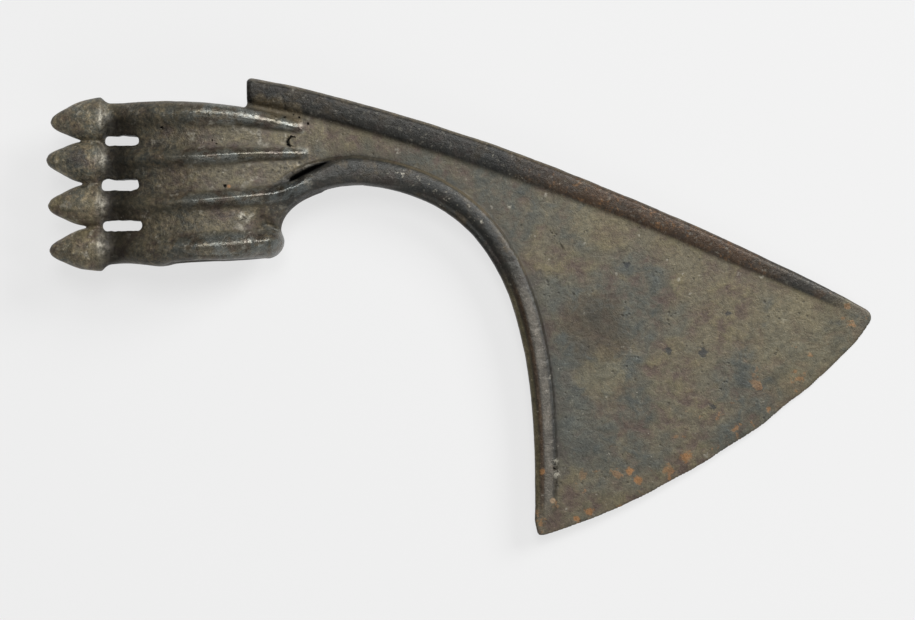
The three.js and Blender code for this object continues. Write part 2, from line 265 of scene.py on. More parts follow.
# Each rib by its number, 4 at the lower rim and 1 at the upper: the line of its crest from the butt to
# the front, its reach to the lower and to the upper side, its rise, and how round its top and its
# underside are where it is crisp.
RIB_CREST = {
    4: [(BUTT_X, -16.9), (-16, -17.1), (-2.3, -16.1), (10.7, -15.3), (17.9, -14.6)],
    3: [(BUTT_X, -5.7), (-16, -5.6), (-2.3, -4.8), (10.7, -3.7), (16, -2.9), (20, -1.6), (25, 0.6)],
    2: [(BUTT_X, 5.3), (-16, 5.9), (-2.3, 6.2), (4, 6.6), (10.7, 7.0), (18, 7.2), (25, 7.1)],
    1: [(BUTT_X, 15.8), (-16, 16.6), (-2.3, 16.9), (4, 16.3), (10.7, 15.4), (17, 14.5), (22, 13.4)],
}
LOW_REACH = {
    4: [(BUTT_X, 5.0), (10, 5.0)],
    3: [(BUTT_X, 3.7), (-16, 3.2), (-2.3, 2.3), (11, 2.4), (20, 2.6)],
    2: [(BUTT_X, 3.7), (-16, 3.2), (-2.3, 2.6), (8, 2.0), (18, 1.6), (25, 1.2)],
    1: [(BUTT_X, 3.8), (-16, 3.7), (-2.3, 3.2), (8, 1.9), (16, 1.6), (20, 1.2)],
}
HIGH_REACH = {
    4: [(BUTT_X, 3.8), (-16, 3.5), (-2.3, 3.3), (11, 3.1), (18, 3.0)],
    3: [(BUTT_X, 3.7), (-16, 3.1), (-2.3, 2.2), (11, 2.2), (20, 2.2)],
    2: [(BUTT_X, 3.7), (-16, 3.2), (-2.3, 2.4), (8, 2.0), (25, 1.9)],
    1: [(BUTT_X, 5.0), (10, 4.4), (20, 3.0)],
}
RIB_RISE = {
    4: [(BUTT_X, 1.3), (-26, 1.3), (-18, 1.7), (0, 1.9), (16, 1.7)],
    3: [(BUTT_X, 1.3), (-26, 1.3), (-18, 1.7), (0, 1.9), (14, 1.9), (25, 2.2)],
    2: [(BUTT_X, 1.3), (-26, 1.3), (-18, 1.7), (0, 1.7), (14, 1.15), (23.2, 0.9), (24.2, 0)],
    1: [(BUTT_X, 1.3), (-26, 1.3), (-18, 1.7), (0, 1.7), (14, 1.2), (20, 0.8), (23, 0)],
}
RIB_ROUND = {4: (0.6, 0.6), 3: (0.6, 0.6), 2: (0.3, 0.45), 1: (0.3, 0.45)}
CREASED_RIBS = (1, 2)  # a sharp crease runs along the foot of their undersides, towards the front
CREASE_WIDTH = 0.28
CREASE_DEPTH = 0.45
LOWER_RIM = [(BUTT_X, -21.3), (-28, -20.9), (-22, -20.5), (-14, -21.2), (-10, -20.4), (-2, -20.0),
             (13.2, -19.2)]
UPPER_RIM = [(BUTT_X, 20.0), (-26, 20.2), (-14, 20.4), (-5, 20.1), (6.4, 19.0), (25, 15.2)]
FREE_END = (13.3, -14.9)
FREE_END_RADIUS = 4.35
SOCKET_WAVER = 0.08
# The rims are broken edges, and the front below the arch is rounded right off.
BUTT_ROUNDING = 1.2
SIDE_ROUNDING = 0.8  # more than at the butt
FRONT_ROUNDING = 4.0  # more again
# How far the corners of the heights and of the socket's outline are softened.
BLADE_SOFTNESS = 0.22
SOCKET_SOFTNESS = 0.2
RIM_SOFTNESS = 0.3


def blur(values, width):
    """A map smoothed over a width in millimetres."""
    reach = int(math.ceil(3 * width / MAP_STEP))
    weight = np.exp(-0.5 * (np.arange(-reach, reach + 1) * MAP_STEP / width) ** 2)
    weight /= weight.sum()
    for axis in (0, 1):
        padded = np.pad(values, [(reach, reach) if k == axis else (0, 0) for k in (0, 1)], mode="edge")
        size = values.shape[axis]
        values = sum(w * np.take(padded, range(k, k + size), axis=axis) for k, w in enumerate(weight))
    return values


flute = np.zeros(map_x.shape)
for lower, upper in ((4, 3), (3, 2), (2, 1)):
    lower_y, upper_y = along(RIB_CREST[lower], map_x), along(RIB_CREST[upper], map_x)
    share = (map_y - lower_y) / (upper_y - lower_y)
    flute += np.where((share > 0) & (share < 1), 4 * share * (1 - share), 0)

crisp = ease(-16, 6, map_x)  # the ribs are worn soft behind and crisp in front
rib_relief = np.zeros(map_x.shape)
rib_share = np.zeros(map_x.shape)
crease = np.zeros(map_x.shape)
for number, crest in RIB_CREST.items():
    above = map_y - along(crest, map_x)
    low_reach, high_reach = along(LOW_REACH[number], map_x), along(HIGH_REACH[number], map_x)
    t = np.clip(np.abs(above) / np.where(above > 0, high_reach, low_reach), 0, 1)
    roundness = np.where(above > 0, *RIB_ROUND[number]) * crisp
    share = (0.5 + 0.5 * np.cos(np.pi * t)) * (1 - roundness) + np.sqrt(1 - t**2) * roundness
    rise = along(RIB_RISE[number], map_x)
    rib_relief = np.maximum(rib_relief, rise * share)
    rib_share = np.maximum(rib_share, share * (rise > 0.05))
    if number in CREASED_RIBS:
        line = streak(above + low_reach + 0.1, CREASE_WIDTH) * ease(5, 9, map_x)
        crease = np.maximum(crease, line * (1 - ease(20.5, 23.5, map_x)))

socket_half = along(SOCKET_HALF, map_x) + rib_relief - flute * along(FLUTE_DEPTH, map_x)
socket_half = socket_half - CREASE_DEPTH * crease - WEDGE_DEPTH * wedge
socket_half = np.maximum(blur(socket_half, SOCKET_SOFTNESS), LEAST_HALF)
blade_half = blur(blade_half - WEDGE_BLADE_DEPTH * wedge, BLADE_SOFTNESS)

from_free_end = np.hypot(map_x - FREE_END[0], map_y - FREE_END[1])
socket_inside = np.minimum(map_y - along(LOWER_RIM, map_x), FREE_END[0] - map_x)
socket_inside = np.maximum(socket_inside, FREE_END_RADIUS - from_free_end)
socket_inside = np.maximum(socket_inside, np.minimum(from_arch, SOCKET_END_X - map_x))
socket_inside = np.minimum(socket_inside, along(UPPER_RIM, map_x) - map_y)
socket_inside = np.minimum(socket_inside, map_x - SOCKET_START_X)
socket_inside = blur(socket_inside, RIM_SOFTNESS) + SOCKET_WAVER * ripple(map_x, map_y, size=5.0, seed=8)
rim_rounding = BUTT_ROUNDING + SIDE_ROUNDING * ease(-28, -22, map_x)
rim_rounding = rim_rounding + FRONT_ROUNDING * ease(5, 13, map_x) * (1 - ease(-8, 2, map_y))


def slope_of(values):
    """How much longer a surface of this height is than its plan."""
    gx, gy = np.gradient(values, MAP_STEP)
    return np.sqrt(1 + gx**2 + gy**2)


blade_slope = slope_of(blade_half)
socket_slope = slope_of(socket_half)


def read(values, x, y):
    """A map's value at each place."""
    gx = np.clip((x - MAP_LOW[0]) / MAP_STEP, 0, values.shape[0] - 1.001)
    gy = np.clip((y - MAP_LOW[1]) / MAP_STEP, 0, values.shape[1] - 1.001)
    ix, iy = gx.astype(int), gy.astype(int)
    fx, fy = gx - ix, gy - iy
    low = values[ix, iy] * (1 - fx) + values[ix + 1, iy] * fx
    high = values[ix, iy + 1] * (1 - fx) + values[ix + 1, iy + 1] * fx
    return low * (1 - fy) + high * fy


# ---------- Spikes: a blunt bud-shaped head at the butt end of each rib --------------------------------

SPIKE_TIPS = {4: (-42.2, -17.3), 3: (-42.6, -5.9), 2: (-43.0, 5.9), 1: (-41.9, 15.3)}
SPIKE_FLATTENING = 0.88
SPIKE_LENGTH = 19
SPIKE_FRONT_X = -20  # no spike reaches past this
# Radius by the distance back from the tip.
SPIKE_RADIUS = [(-1, -0.8), (0, 0.3), (0.6, 1.35), (1.8, 2.25), (4.0, 3.35), (6.2, 4.4), (7.9, 5.0),
                (10.5, 5.5), (12.7, 5.75), (13.3, 5.6), (14.7, 3.9), (15.6, 2.8), (17, 2.0), (20, 1.0)]


def spike(number, x, y, z):
    """Distance from the surface of one spike, negative inside."""
    tip_x, tip_y = SPIKE_TIPS[number]
    base_y = RIB_CREST[number][0][1]
    length = math.hypot(BUTT_X - tip_x, base_y - tip_y)
    ax, ay = (BUTT_X - tip_x) / length, (base_y - tip_y) / length
    back = (x - tip_x) * ax + (y - tip_y) * ay
    side = -(x - tip_x) * ay + (y - tip_y) * ax
    out = np.sqrt(side**2 + (z / SPIKE_FLATTENING) ** 2 + 0.02)
    body = (out - along(SPIKE_RADIUS, back)) * 0.85  # less than the true distance on the steep flanks
    return np.maximum(body, back - SPIKE_LENGTH)


# ---------- Shaft hole and slots -----------------------------------------------------------------------

BORE_BACK_X = -12.0
BORE_BACK_RADIUS = 8.8
BORE_FRONT_X = 13.5
BORE_FRONT_RADIUS = 2.4
BORE_SIZE = [(-26, 1.0), (32, 0.72)]  # it narrows evenly from the lower rim to the upper
SLOTS = [(-23.3, -11.0, 10.8, 2.6), (-23.9, -0.6, 10.2, 2.8), (-23.5, 10.6, 9.3, 2.7)]  # x, y, length, height
SLOT_CORNER = 1.25
FAR = 50.0  # more than any distance that matters


def bore(x, y, z):
    """Distance from the shaft hole's wall, negative in the hole."""
    (low_y, full), (high_y, narrow) = BORE_SIZE
    size = full + (y - low_y) * (narrow - full) / (high_y - low_y)
    px = BORE_BACK_X + (x - BORE_BACK_X) / size - (BORE_BACK_X + BORE_BACK_RADIUS)
    pz = np.abs(z) / size
    span = (BORE_FRONT_X - BORE_FRONT_RADIUS) - (BORE_BACK_X + BORE_BACK_RADIUS)
    b = (BORE_BACK_RADIUS - BORE_FRONT_RADIUS) / span
    a = math.sqrt(1 - b * b)
    k = px * a - pz * b
    back = np.hypot(px, pz) - BORE_BACK_RADIUS
    front = np.hypot(px - span, pz) - BORE_FRONT_RADIUS
    side = pz * a + px * b - BORE_BACK_RADIUS
    return np.where(k < 0, back, np.where(k > a * span, front, side)) * size


def slots(x, y):
    """Distance from the ragged walls of the slots, negative in a slot."""
    nearest = np.full(x.shape, FAR)
    for slot_x, slot_y, length, height in SLOTS:
        dx = np.abs(x - slot_x) - length / 2 + SLOT_CORNER
        dy = np.abs(y - slot_y) - height / 2 + SLOT_CORNER
        wall = np.hypot(np.maximum(dx, 0), np.maximum(dy, 0)) + np.minimum(np.maximum(dx, dy), 0)
        nearest = np.minimum(nearest, wall - SLOT_CORNER)
    return nearest + 0.22 * ripple(x, y, size=1.9, seed=12) + 0.1 * ripple(x, y, size=0.9, seed=13)


# ---------- The casting: all of these in one skin ------------------------------------------------------

NECK_FILLET = 2.0  # between the blade and the socket
SPIKE_FILLET = 0.7  # between two spikes
ROOT_FILLET = 1.3  # between the spikes and the rest
BORE_ROUNDING = 1.1
SLOT_ROUNDING = 0.9
EDGE_ROUNDING = (0.25, 1.5)  # least and most round the blade, by its thickness


def casting(x, y, z):
    """Distance from the casting's surface, negative in the metal."""
    blade = (np.abs(z) - read(blade_half, x, y)) / read(blade_slope, x, y)
    rounding = np.clip(read(blade_half, x, y) * 0.8, *EDGE_ROUNDING)
    blade = soft_max(blade, -read(blade_inside, x, y), rounding)
    socket = (np.abs(z) - read(socket_half, x, y)) / read(socket_slope, x, y)
    socket = soft_max(socket, -read(socket_inside, x, y), read(rim_rounding, x, y))
    whole = soft_min(blade, socket, NECK_FILLET)
    heads = np.full(x.shape, FAR)
    close = x < SPIKE_FRONT_X
    for number in SPIKE_TIPS:
        one = np.full(x.shape, FAR)
        one[close] = spike(number, x[close], y[close], z[close])
        heads = soft_min(heads, one, SPIKE_FILLET)
    whole = soft_min(whole, heads, ROOT_FILLET)
    whole = soft_max(whole, -bore(x, y, z), BORE_ROUNDING)
    return soft_max(whole, -slots(x, y), SLOT_ROUNDING)


def skin(step, low, high):
    """A quad mesh over the surface of the casting: its points, and the four points of each face."""
    # one sample for each block, then every sample of the blocks that the surface may cross
    block = 4
    blocks = [int(math.ceil((high[k] - low[k]) / step / block)) for k in range(3)]
    values = np.empty([n * block for n in blocks], dtype=np.float32)
    block_at = np.stack(np.meshgrid(*[np.arange(n) for n in blocks], indexing="ij"), axis=-1).reshape(-1, 3)
    centre = (block_at * block + (block - 1) / 2) * step + np.array(low)
    block_value = casting(*centre.T)
    tiled = values.reshape(blocks[0], block, blocks[1], block, blocks[2], block)
    tiled[...] = block_value.reshape(blocks)[:, None, :, None, :, None]
    near = block_at[np.abs(block_value) < block * step * 1.25]
    sub = np.stack(np.meshgrid(*[np.arange(block)] * 3, indexing="ij"), axis=-1).reshape(-1, 3)
    index = (near[:, None, :] * block + sub[None, :, :]).reshape(-1, 3)
    spots = index * step + np.array(low)
    values[tuple(index.T)] = casting(*spots.T)

    # one point in each cell that the surface crosses, in the middle of the places where it cuts its edges
    inside = values < 0
    cells = tuple(n - 1 for n in values.shape)
    total = np.zeros(cells, dtype=np.int8)
    for dx, dy, dz in np.ndindex(2, 2, 2):
        total += inside[dx:dx + cells[0], dy:dy + cells[1], dz:dz + cells[2]]
    mixed = (total > 0) & (total < 8)
    at = np.argwhere(mixed)
    number = np.full(cells, -1, dtype=np.int64)
    number[mixed] = np.arange(len(at))
    place = np.zeros((len(at), 3))
    count = np.zeros(len(at))
    for axis in range(3):
        others = [k for k in range(3) if k != axis]
        for offset in np.ndindex(2, 2):
            start = at.copy()
            start[:, others] += offset
            end = start.copy()
            end[:, axis] += 1
            a = values[tuple(start.T)].astype(float)
            b = values[tuple(end.T)].astype(float)
            cut = (a < 0) != (b < 0)
            t = np.where(cut, a / np.where(cut, a - b, 1), 0)
            hit = start.astype(float)
            hit[:, axis] += t
            place += np.where(cut[:, None], hit, 0)
            count += cut
    place = place / count[:, None] * step + np.array(low)

    # one face round each cut edge, through its four cells, facing outwards
    faces = []
    for axis in range(3):
        u, v = (axis + 1) % 3, (axis + 2) % 3
        first = [slice(1, -1)] * 3
        first[axis] = slice(0, -1)
        second = list(first)
        second[axis] = slice(1, None)
        edges = np.argwhere(inside[tuple(first)] != inside[tuple(second)])
        edges[:, [u, v]] += 1
        leaving = inside[tuple(edges.T)]
        corners = []
        for p, q in ((1, 1), (0, 1), (0, 0), (1, 0)):
            cell = edges.copy()
            cell[:, u] -= p
            cell[:, v] -= q
            corners.append(number[tuple(cell.T)])
        quad = np.array(corners).T
        quad[~leaving] = quad[~leaving][:, ::-1]
        faces.append(quad)
    return place, np.vstack(faces)


PROBE = 0.02
LONGEST_MOVE = 0.3
LEAST_STEEP = 0.2  # keeps a point in place where the surface has no clear direction


def settle(place, passes):
    """Moves each point straight onto the casting's surface."""
    for _ in range(passes):
        x, y, z = place.T
        here = casting(x, y, z)
        slope = np.stack([
            casting(x + PROBE, y, z) - casting(x - PROBE, y, z),
            casting(x, y + PROBE, z) - casting(x, y - PROBE, z),
            casting(x, y, z + PROBE) - casting(x, y, z - PROBE),
        ], axis=1) / (2 * PROBE)
        steep = np.maximum((slope**2).sum(axis=1), LEAST_STEEP)
        move = -slope * (here / steep)[:, None]
        length = np.linalg.norm(move, axis=1, keepdims=True)
        place = place + move * np.minimum(1, LONGEST_MOVE / np.maximum(length, 1e-9))
    return place


SKIN_STEP = 0.42
SKIN_LOW = (-44.5, -92.0)
SKIN_HIGH = (169.5, 28.5)
SKIN_HALF_DEPTH = 16.0

below = math.floor(SKIN_HALF_DEPTH / SKIN_STEP) * SKIN_STEP  # whole steps, so that a sample lies on z = 0
points, quads = skin(SKIN_STEP, (*SKIN_LOW, -below), (*SKIN_HIGH, SKIN_HALF_DEPTH))
points = settle(points, 3)

mesh = bpy.data.meshes.new("axe_head_casting")
mesh.from_pydata(points.tolist(), [], quads.tolist())
casting_piece = bpy.data.objects.new("axe_head_casting", mesh)
bpy.context.scene.collection.objects.link(casting_piece)

# ---------- Thinned to an even number of faces, and put back on its surface ----------------------------

FACE_LIMIT = 192000


def evaluated_mesh(obj):
    """The object's mesh with its modifiers done."""
    graph = bpy.context.evaluated_depsgraph_get()
    return bpy.data.meshes.new_from_object(obj.evaluated_get(graph), depsgraph=graph)


thin = casting_piece.modifiers.new("thin", "DECIMATE")
thin.ratio = FACE_LIMIT / (2 * len(quads))
casting_piece.data = evaluated_mesh(casting_piece)
casting_piece.modifiers.clear()
points = np.empty(len(casting_piece.data.vertices) * 3)
casting_piece.data.vertices.foreach_get("co", points)
points = settle(points.reshape(-1, 3), 2)
casting_piece.data.vertices.foreach_set("co", points.ravel())

# ---------- Wear, dirt and painted light: where the metal is handled bright, where soil has stayed ------
# Each mark is a share from 0 to 1 at every point of the casting, for its patina and painted light to follow.


def between(a, b, c, d, x):
    """0 below a and above d, 1 from b to c, and a smooth step on either side."""
    return ease(a, b, x) * (1 - ease(c, d, x))


BUD_FACET_HIGHLIGHTS = (16.4, 5.9, -5.7, -15.8)  # the middle of the painted highlight on the facet at the foot of each spike's bud
BUD_HIGHLIGHT_X = -28.5

height = np.maximum(np.where(blade_inside > 0, blade_half, 0), np.where(socket_inside > 0, socket_half, 0))
hollow_shade_and_soil = np.clip((blur(height, 0.9) - height) / 0.45, 0, 1) * (map_x > SOCKET_START_X + 1.5)
flange_face = between(-0.1, 0.05, 0.86, 1.0, flange_share) * ease(4, 16, from_edge)
flange_face = flange_face * ease(FLANGE_END_X - 0.5, FLANGE_END_X + 0.5, map_x)
bead_share = from_arch / bead_width
bead_band = (1 - ease(0.9, 1.02, bead_share)) * ease(2, 12, from_edge)
bead_band = bead_band * (from_arch > -1) * ease(-1, 8, arch_reach)
under_neck = between(40, 47, 66, 74, map_x) * ease(-28, -20, map_y)
by_blade = 1 - ease(-32, -20, map_y)
rib_band = np.clip(rib_share * 1.6, 0, 1) * (socket_inside > -0.5) * (1 - ease(22, 26, map_x))

map_marks = {
    # soil and painted shade in the hollows, along the creases and in the wedge
    "hollow_shade_and_soil": np.maximum(hollow_shade_and_soil, np.maximum(wedge, crease)),
    # a painted black shadow in the wedge
    "wedge": ease(0.35, 0.8, wedge),
    # painted shade, with soil, in the low roots of the ribs behind the spikes
    "root": between(-29.6, -27, -25, -16, map_x) * (1 - ease(15.5, 18.5, map_y)),
    "rib": rib_band * ease(-16, 0, map_x),
    "near_edge": 1 - ease(0, 22, from_edge),
    "flange": flange_face,
    "rusty": flange_face * between(70, 96, 132, 150, map_x),
    # a painted highlight along the flange's outer bevel
    "bevel_highlight": streak(from_back - 0.3, 0.35) * between(7.5, 8.5, 120, 140, map_x),
    # the bead: painted glints on its worn top and a painted highlight along its foot under the neck
    "bead": bead_band,
    "bead_top_glints": bead_band * between(0.25, 0.45, 0.7, 0.9, bead_share) * under_neck,
    # a painted highlight along the bead's foot under the neck
    "bead_foot_highlight": streak(from_arch - bead_width, 0.3) * under_neck,
    # beside the blade, painted light and shade in bands: lit ledge, shaded side, highlit crest, shaded crease
    "ledge": bead_band * by_blade * (1 - ease(0.16, 0.26, bead_share)),
    "bead_side_shade": bead_band * by_blade * between(0.2, 0.28, 0.38, 0.46, bead_share),
    "bead_crest_highlight": bead_band * by_blade * between(0.40, 0.5, 0.76, 0.88, bead_share),
    "bead_crease_shade": streak(bead_share - 1, 0.07) * by_blade * ease(2, 8, from_edge),
}
x, y, z = points.T
marks = {name: read(values, x, y) for name, values in map_marks.items()}
marks["in_bore"] = (1 - ease(0.2, 1.6, bore(x, y, z))) * (np.abs(y) < 24)
marks["root"] = marks["root"] * (marks["in_bore"] < 0.5)
marks["socket"] = 1 - ease(20, 34, x)
marks["bud"] = 1 - ease(-31.5, -28.5, x)
# a painted highlight on the lit facet at the foot of each spike's bud
facet_highlights = np.max([streak(y - facet_y, 2.3) for facet_y in BUD_FACET_HIGHLIGHTS], axis=0)
marks["bud_facet_highlight"] = facet_highlights * streak(x - BUD_HIGHLIGHT_X, 0.8)
marks["upper"] = ease(-0.2, 0.2, z)
for name, values in marks.items():
    layer = casting_piece.data.attributes.new(name, "FLOAT", "POINT")
    layer.data.foreach_set("value", np.clip(values, 0, 1).astype(np.float32))

# ---------- Patina: dark bronze with olive-brown mottling, soil in the hollows, rust-orange spots -------

patina = bpy.data.materials.new("aged_bronze")
patina.use_nodes = True
tree = patina.node_tree  # the node tree that is being built
tree.nodes.clear()


def wire(value, socket):
    """Links an output to a socket, or sets the socket's value."""
    if isinstance(value, bpy.types.NodeSocket):
        tree.links.new(value, socket)
    else:
        socket.default_value = value


def node(kind, **values):
    """A node with its properties and inputs set by name."""
    made = tree.nodes.new(kind)
    for name, value in values.items():
        if hasattr(made, name):
            setattr(made, name, value)
        else:
            wire(value, made.inputs[name.replace("_", " ")])
    return made


def math_node(operation, a, b, c=0.0):
    """The result of one sum on values."""
    made = node("ShaderNodeMath", operation=operation)
    wire(a, made.inputs[0])
    wire(b, made.inputs[1])
    wire(c, made.inputs[2])
    return made.outputs[0]


def times(a, b):
    """One value times another."""
    return math_node("MULTIPLY", a, b)


def scaled(value, by, plus):
    """A value times another, plus a third."""
    return math_node("MULTIPLY_ADD", value, by, plus)


def rest_of(value):
    """What a value lacks to 1."""
    return math_node("SUBTRACT", 1.0, value)


def centred(value):
    """A value about 0.5 moved to lie about 0."""
    return math_node("SUBTRACT", value, 0.5)


def vector_node(operation, a, b):
    """The node of one sum on vectors."""
    made = node("ShaderNodeVectorMath", operation=operation)
    wire(a, made.inputs[0])
    wire(b, made.inputs[1])
    return made


def window(value, low, high):
    """0 below low and 1 above high, or the other way round where low is the higher."""
    interpolation = "SMOOTHSTEP" if high > low else "LINEAR"
    return node("ShaderNodeMapRange", interpolation_type=interpolation, Value=value, From_Min=low,
                From_Max=high).outputs["Result"]


place = node("ShaderNodeTexCoord").outputs["Object"]
flat = vector_node("MULTIPLY", place, (1, 1, 0)).outputs["Vector"]


def noise(scale, detail, roughness=0.6, distortion=0.0):
    """Cloudy random values about 0.5, with scale clouds to the metre."""
    return node("ShaderNodeTexNoise", Vector=place, Scale=scale, Detail=detail, Roughness=roughness,
                Distortion=distortion).outputs["Fac"]


def mark(name):
    """One of the casting's marks."""
    return node("ShaderNodeAttribute", attribute_name=name).outputs["Fac"]


def blend(share, under, over):
    """One colour laid over another by a share."""
    made = node("ShaderNodeMix", data_type="RGBA", Factor=share)
    wire(under, made.inputs[6])
    wire(over, made.inputs[7])
    return made.outputs[2]


def coated(under, *coats):
    """A colour with coats laid over it in turn, each a share and a colour."""
    for share, over in coats:
        under = blend(share, under, over)
    return under


def colour(red, green, blue):
    """A linear colour from screen values."""
    screen = [value / 255 for value in (red, green, blue)]
    return (*[c / 12.92 if c <= 0.04 else ((c + 0.055) / 1.055) ** 2.4 for c in screen], 1)


OLIVE = colour(98, 91, 73)
PALE_OLIVE = colour(117, 108, 82)
MAUVE = colour(94, 79, 69)
BLUE_GREY = colour(75, 78, 73)
DARK_METAL = colour(47, 48, 46)
STEEL_GREY = colour(112, 117, 115)
CREST_HIGHLIGHT_GREY = colour(118, 112, 102)
DARK_BROWN = colour(68, 58, 42)
SOIL_AND_SHADE = colour(30, 27, 22)
CLAY_AND_HIGHLIGHT = colour(129, 115, 88)
RUST = colour(154, 112, 70)
RED_BROWN = colour(88, 66, 44)
PALE_BLOOM_AND_HIGHLIGHT = colour(165, 160, 146)
SPOT_BLUE = colour(44, 47, 49)
COPPER = colour(176, 150, 120)
WEDGE_SHADOW_BLACK = (0.002, 0.002, 0.002, 1)
PORE_BLACK = (0.003, 0.003, 0.003, 1)

broad = noise(36, 3)
patches = noise(240, 4, 0.62, 0.4)
hues = noise(150, 4, 0.62)
mottle = noise(760, 5, 0.7, 0.2)
speckle = noise(800, 4, 0.72)
grain = noise(2600, 2, 0.8)
cells = node("ShaderNodeTexVoronoi", Vector=place, Scale=620.0, Randomness=1.0)
pit = times(rest_of(window(cells.outputs["Distance"], 0.08, 0.30)), window(hues, 0.52, 0.62))

REST_TILT = math.radians(4.137)  # how far the head leans when it lies loose
FLAT_MIDDLE = (62.05, -31.5)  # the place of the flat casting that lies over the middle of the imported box
cad_low, cad_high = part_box("axe_head")


def patch(*places, edge=0.45, ragged=1.2, fray=0.0):
    """Soft patches, ragged at their borders, round places of the flat casting given as (x, y, reach)."""
    nearest = None
    for flat_x, flat_y, reach in places:
        spot = (
            (cad_low[0] + cad_high[0]) / 2 + (flat_x * math.cos(REST_TILT) - FLAT_MIDDLE[0]) / 1000,
            (cad_low[1] + cad_high[1]) / 2 + (flat_y - FLAT_MIDDLE[1]) / 1000,
            0.0,
        )
        away = vector_node("DISTANCE", flat, spot).outputs["Value"]
        share = math_node("DIVIDE", away, reach / 1000)
        nearest = share if nearest is None else math_node("MINIMUM", nearest, share)
    nearest = scaled(centred(patches), ragged, nearest)
    if fray:
        nearest = scaled(centred(speckle), fray, nearest)
    return rest_of(window(nearest, 1 - edge, 1.0))


socket, upper, ribs = mark("socket"), mark("upper"), mark("rib")
worn = math_node("MAXIMUM", mark("flange"), mark("bead"))

base = blend(window(patches, 0.36, 0.64), MAUVE, PALE_OLIVE)
base = blend(window(hues, 0.40, 0.62), base, OLIVE)
base = blend(times(window(broad, 0.46, 0.60), window(patches, 0.25, 0.7)), base, BLUE_GREY)

# the blade's darker and lighter grounds, and its dark spots
dark_spots = patch((124.5, -43.2, 1.6), (115.6, -42.6, 1.2), (105, -21, 1.2), (131, -33, 1.0),
                   (139, -52, 1.3), (127, -57, 1.1), edge=0.6, fray=2.6)
base = coated(
    base,
    (times(patch((97, -37.5, 11)), 0.6), DARK_BROWN),
    (times(patch((88, -52, 11), (90, -66, 10), (84, -28, 7)), 0.5), BLUE_GREY),
    (times(patch((150, -41, 18), (99, -49, 8), (98, -10, 9)), 0.45), PALE_OLIVE),
    (times(dark_spots, 0.8), SPOT_BLUE),
)

# the socket is mottled dark and clay-coloured; flange and bead are worn dark, and rib fronts steel-grey
crust = times(socket, window(broad, 0.38, 0.56))
base = coated(
    base,
    (times(socket, 0.12), DARK_METAL),
    (times(socket, times(window(mottle, 0.60, 0.30), 0.32)), SOIL_AND_SHADE),
    (times(crust, times(window(mottle, 0.40, 0.72), 0.65)), CLAY_AND_HIGHLIGHT),
    (times(worn, scaled(window(patches, 0.36, 0.56), 0.25, 0.65)), DARK_METAL),
    (times(ribs, scaled(window(patches, 0.42, 0.58), 0.6, 0.12)), STEEL_GREY),
    (times(worn, times(window(hues, 0.50, 0.62), 0.7)), DARK_BROWN),
)

# bands of painted light and shade on the bead, painted highlights on the flange's bevel and the bead's foot,
# and whitish deposits and clay on the socket
flecks = times(socket, window(noise(330, 5, 0.62), 0.56, 0.70))
base = coated(
    base,
    # painted light on the ledge, painted shade on the red-brown side and a painted highlight on the crest
    (times(mark("ledge"), 0.8), PALE_OLIVE),
    (times(mark("bead_side_shade"), 0.6), RED_BROWN),
    (times(mark("bead_crest_highlight"), scaled(window(patches, 0.3, 0.6), 0.5, 0.3)), CREST_HIGHLIGHT_GREY),
    # a painted highlight on the flange's outer bevel
    (times(mark("bevel_highlight"), window(speckle, 0.30, 0.55)), CLAY_AND_HIGHLIGHT),
    # a painted highlight in clay colour along the bead's foot under the neck
    (times(mark("bead_foot_highlight"), 0.75), CLAY_AND_HIGHLIGHT),
    # painted shade in the crease beside the blade
    (times(mark("bead_crease_shade"), 0.7), SOIL_AND_SHADE),
    (times(flecks, 0.5), PALE_BLOOM_AND_HIGHLIGHT),
    (times(patch((12, 20.3, 2.6), (16, 19.2, 3.4), (20.5, 17.4, 3.2)), 0.55), CLAY_AND_HIGHLIGHT),
)

# soil and painted shade in the hollows and at the roots of the ribs behind the spikes, a painted black
# shadow in the wedge, a painted highlight on each spike's facet, and darker inside the shaft hole
shade_and_soil = times(mark("hollow_shade_and_soil"), window(speckle, 0.30, 0.55))
base = coated(
    base,
    (times(shade_and_soil, scaled(socket, -0.35, 0.8)), SOIL_AND_SHADE),
    # painted shade with soil at the roots of the ribs
    (times(mark("root"), 0.72), SOIL_AND_SHADE),
    (times(patch((-34.5, 5.9, 3.4)), 0.55), SPOT_BLUE),
    # the painted highlight on each spike's facet
    (times(mark("bud_facet_highlight"), window(speckle, 0.25, 0.60)), PALE_BLOOM_AND_HIGHLIGHT),
    # the painted black shadow in the wedge
    (mark("wedge"), WEDGE_SHADOW_BLACK),
    (times(mark("in_bore"), 0.7), SOIL_AND_SHADE),
)

# rust-orange bloom by the cutting edge and along the flange, pale crumbs, one bright copper spot, and
# painted glints on the worn flange and bead
near_rust = times(mark("near_edge"), window(noise(230, 4), 0.60, 0.66))
rust = math_node("MAXIMUM", near_rust, times(mark("rusty"), window(mottle, 0.54, 0.64)))
rust_spots = patch((95.4, -83.6, 1.3), (92.3, -85.4, 1.1), (120.4, -69.6, 1.9), (108, -75.5, 1.6),
                   (106, -73.2, 1.2), (83.6, -73.4, 0.9), (5.0, -1.2, 0.6), edge=0.6, fray=2.4)
crumbs = patch((86.8, -71.0, 1.3), (87.2, -74.0, 1.2), (8.3, -8.7, 1.4), (12.2, 12.2, 0.8), fray=2.4)
crumbs = times(times(crumbs, upper), window(speckle, 0.38, 0.52))
